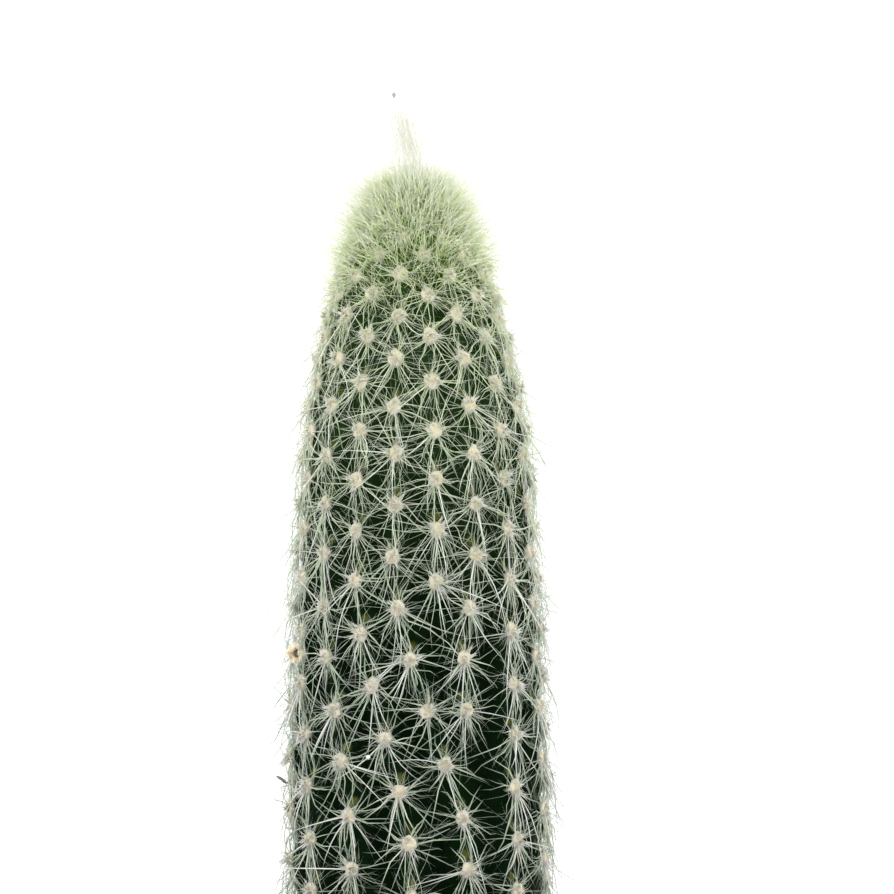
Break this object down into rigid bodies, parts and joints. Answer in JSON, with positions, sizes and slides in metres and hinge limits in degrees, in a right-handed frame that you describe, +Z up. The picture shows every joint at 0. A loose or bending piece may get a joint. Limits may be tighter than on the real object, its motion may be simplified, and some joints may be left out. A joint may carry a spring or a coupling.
{
  "type": "potted columnar cactus",
  "caption": "Young columnar cactus with ribs, woolly areoles and fine white spines, growing in gritty potting mix in a plain clay pot.",
  "frame": {"origin": "middle of the pot's underside", "axes": "+Z up along the stem; the side that the picture shows faces -Y, with +X to its right"},
  "size_m": [0.105, 0.105, 0.2666],
  "materials": {
    "cactus_skin": "waxy dark green living skin, cream wool and pale spines",
    "gritty_mix": "loose dark soil with grit",
    "clay": "unglazed fired clay"
  },
  "bodies": {
    "root": {"cactus": "cactus_skin", "potting_mix": "gritty_mix", "pot": "clay"}
  },
  "joints": []
}
